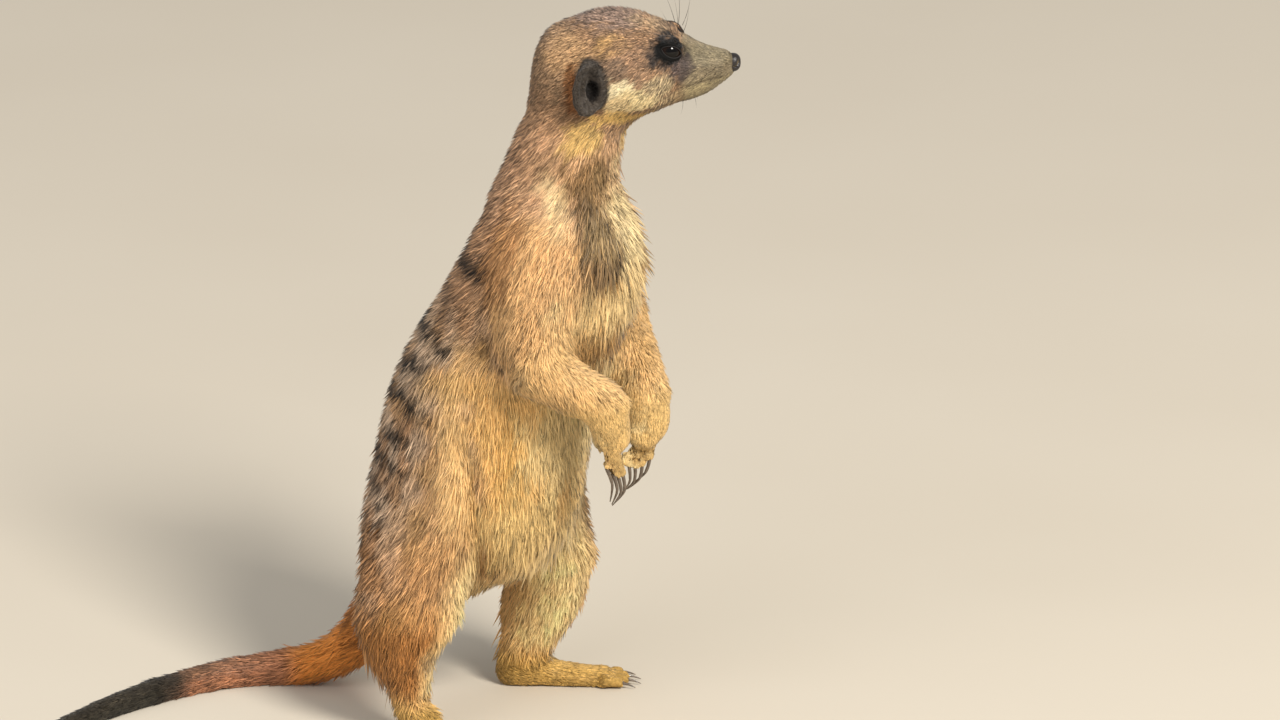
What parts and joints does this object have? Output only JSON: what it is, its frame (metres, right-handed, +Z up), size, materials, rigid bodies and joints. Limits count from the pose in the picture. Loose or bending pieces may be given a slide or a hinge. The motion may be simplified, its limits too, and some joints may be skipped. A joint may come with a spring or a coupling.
{
  "type": "meerkat",
  "caption": "Adult meerkat standing upright on its hind legs, forepaws hanging in front, head turned to its left, tail laid on the floor behind.",
  "frame": {"origin": "on the floor, under the middle of the animal's bounding box", "axes": "+X the way the trunk faces, +Y the animal's left, +Z up"},
  "size_m": [0.2276, 0.196, 0.291],
  "materials": {
    "coat": "short fur, brown above with darker bands across the back, paler below",
    "ear_skin": "dark grey-black, thinly haired",
    "nose_skin": "black, moist",
    "eye": "glossy dark brown",
    "claw": "smooth dark horn"
  },
  "bodies": {
    "root": {"belly": "coat", "chest": "coat", "claw_fore_left_1": "claw", "claw_fore_left_2": "claw", "claw_fore_left_3": "claw", "claw_fore_left_4": "claw", "claw_fore_right_1": "claw", "claw_fore_right_2": "claw", "claw_fore_right_3": "claw", "claw_fore_right_4": "claw", "claw_hind_left_1": "claw", "claw_hind_left_2": "claw", "claw_hind_left_3": "claw", "claw_hind_left_4": "claw", "claw_hind_right_1": "claw", "claw_hind_right_2": "claw", "claw_hind_right_3": "claw", "claw_hind_right_4": "claw", "ear_left": "ear_skin", "ear_right": "ear_skin", "eye_left": "eye", "eye_right": "eye", "forearm_left": "coat", "forearm_right": "coat", "forepaw_left": "coat", "forepaw_right": "coat", "head": "coat", "hind_foot_left": "coat", "hind_foot_right": "coat", "lower_jaw": "coat", "muzzle": "coat", "neck": "coat", "nose": "nose_skin", "rump": "coat", "shank_left": "coat", "shank_right": "coat", "tail_base": "coat", "tail_middle": "coat", "tail_tip": "coat", "thigh_left": "coat", "thigh_right": "coat", "upper_arm_left": "coat", "upper_arm_right": "coat"}
  },
  "joints": []
}
